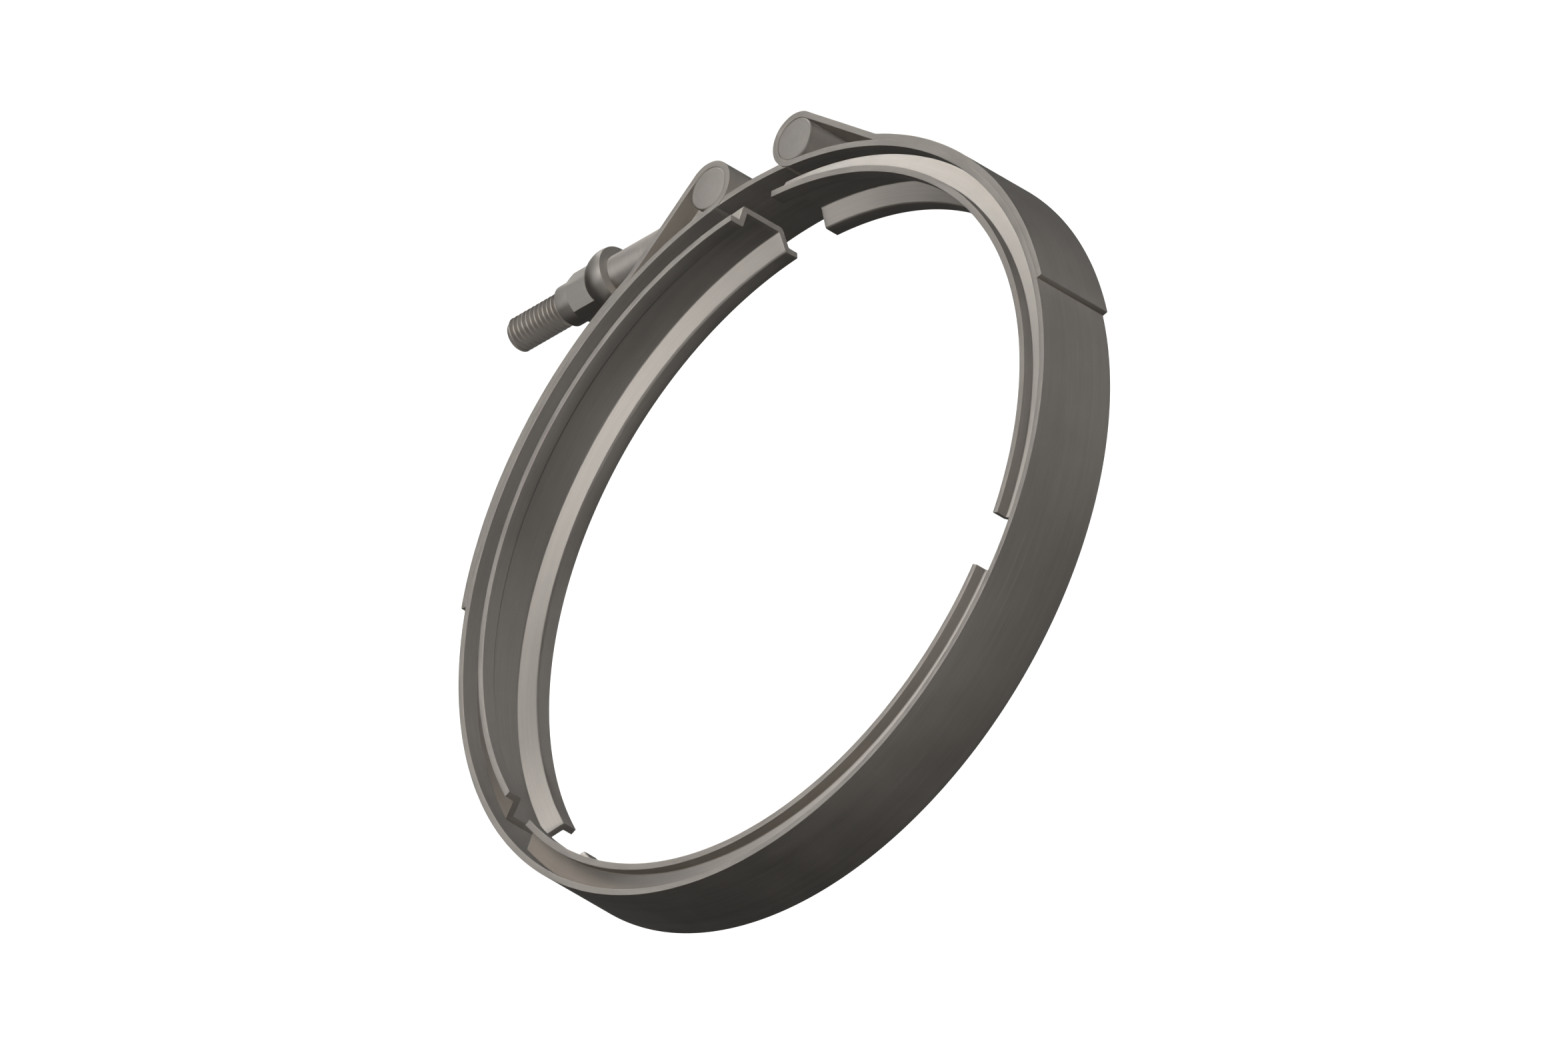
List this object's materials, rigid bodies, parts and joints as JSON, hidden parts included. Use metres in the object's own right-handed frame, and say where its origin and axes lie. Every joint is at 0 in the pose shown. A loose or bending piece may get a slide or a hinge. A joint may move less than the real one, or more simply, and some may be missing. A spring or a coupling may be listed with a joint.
{
  "type": "v-band clamp",
  "caption": "Round V-band clamp: folded strap with V-section retainers inside, T-bolt, latch trunnion and flanged lock nut.",
  "frame": {"origin": "centre of the ring, halfway across the strap's width", "axes": "+Z along the ring's axis; +X along the bolt, away from its nut; +Y from the centre towards the gap that the bolt closes"},
  "size_m": [0.1762, 0.1875, 0.02],
  "materials": {
    "strap_steel": "brushed along the strap",
    "retainer_steel": "roll-formed, satin",
    "trunnion_steel": "turned, satin",
    "bolt_steel": "turned and threaded",
    "nut_steel": "machined, satin"
  },
  "bodies": {
    "clamp_band": {"band": "strap_steel", "gap_bridge": "strap_steel", "retainer_right": "retainer_steel", "retainer_left": "retainer_steel", "retainer_bottom": "retainer_steel"},
    "bolt": {"t_bolt": "bolt_steel"},
    "latch": {"latch_trunnion": "trunnion_steel"},
    "nut": {"lock_nut": "nut_steel"}
  },
  "joints": [
    {"name": "bolt_pivot", "type": "hinge", "parent": "clamp_band", "child": "bolt", "pos_m": [0.01295, 0.09228, 0], "axis": [0, 0, 1], "range_deg": [-0.4, 0.4]},
    {"name": "latch_pivot", "type": "hinge", "parent": "clamp_band", "child": "latch", "pos_m": [-0.01295, 0.09228, 0], "axis": [0, 0, 1], "range_deg": [-0.4, 0.4]},
    {"name": "nut_travel", "type": "slide", "parent": "bolt", "child": "nut", "axis": [-1, 0, 0], "range_m": [0, 0.03125]}
  ],
  "couplings": [
    {"joint": "latch_pivot", "follows": "bolt_pivot", "ratio": 1}
  ]
}
